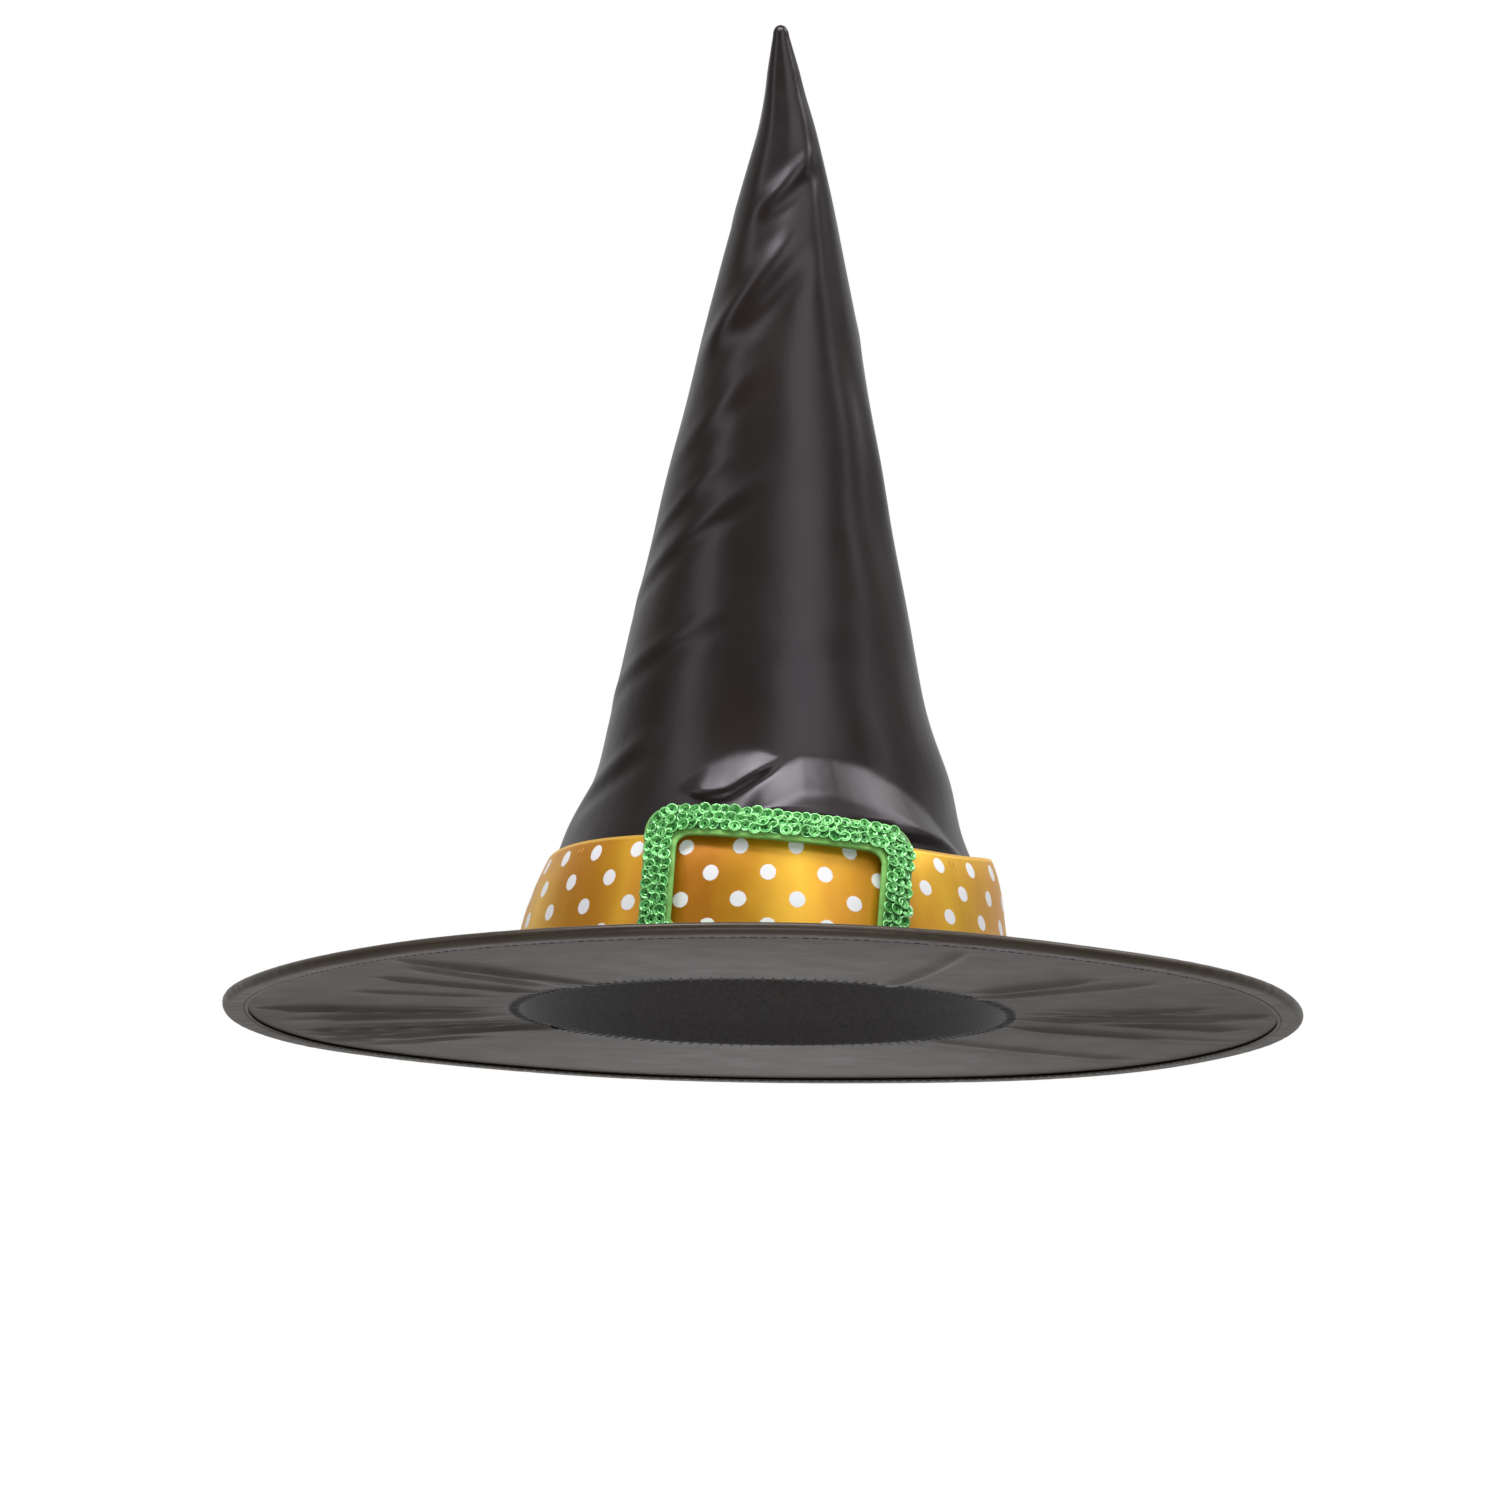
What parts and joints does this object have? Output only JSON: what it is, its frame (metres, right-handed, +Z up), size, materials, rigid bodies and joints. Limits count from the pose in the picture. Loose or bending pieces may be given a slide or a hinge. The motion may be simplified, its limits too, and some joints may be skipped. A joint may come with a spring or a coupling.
{
  "type": "witch hat",
  "caption": "Pointed black satin costume hat with a flat round brim, a spotted orange ribbon band and a curved green sequinned buckle frame; the tip folds over.",
  "frame": {"origin": "centre of the brim, in the plane the hat stands on", "axes": "+Z up to the point, the buckle faces -Y, +X to the right seen from the front"},
  "size_m": [0.38, 0.38, 0.35],
  "materials": {
    "black_satin": "glossy polyester satin",
    "black_felt": "matt non-woven felt",
    "black_thread": "spun thread",
    "boning_plastic": "smooth",
    "sleeve_plastic": "smooth",
    "sweatband_cloth": "folded cotton tape",
    "orange_ribbon": "satin ribbon printed with white spots",
    "orange_thread": "spun thread",
    "green_foam": "closed-cell foam sheet, pale green",
    "green_cloth": "knitted backing cloth",
    "green_sequin": "metallised film",
    "glue": "hot glue"
  },
  "bodies": {
    "hat": {"crown_satin_lower": "black_satin", "crown_satin_bend": "black_satin", "crown_interlining_lower": "black_felt", "crown_interlining_bend": "black_felt", "crown_seam_stitching": "black_thread", "brim_top_satin": "black_satin", "brim_stiffener": "black_felt", "brim_underside_satin": "black_satin", "brim_edge_binding": "black_satin", "brim_hoop": "boning_plastic", "brim_hoop_sleeve": "sleeve_plastic", "brim_stitching": "black_thread", "sweatband": "sweatband_cloth", "sweatband_stitching": "black_thread", "hat_band": "orange_ribbon", "hat_band_tacks": "orange_thread", "buckle_foam": "green_foam", "buckle_sequin_cloth": "green_cloth", "buckle_sequins": "green_sequin", "buckle_glue_dabs": "glue"},
    "tip": {"crown_satin_tip": "black_satin", "crown_interlining_tip": "black_felt", "tip_seam_stitching": "black_thread"}
  },
  "joints": [
    {"name": "tip_nod", "type": "hinge", "parent": "hat", "child": "tip", "pos_m": [0, 0, 0.215], "axis": [0, 1, 0], "range_deg": [-60, 60], "deforming": ["crown_satin_bend", "crown_interlining_bend"]}
  ]
}
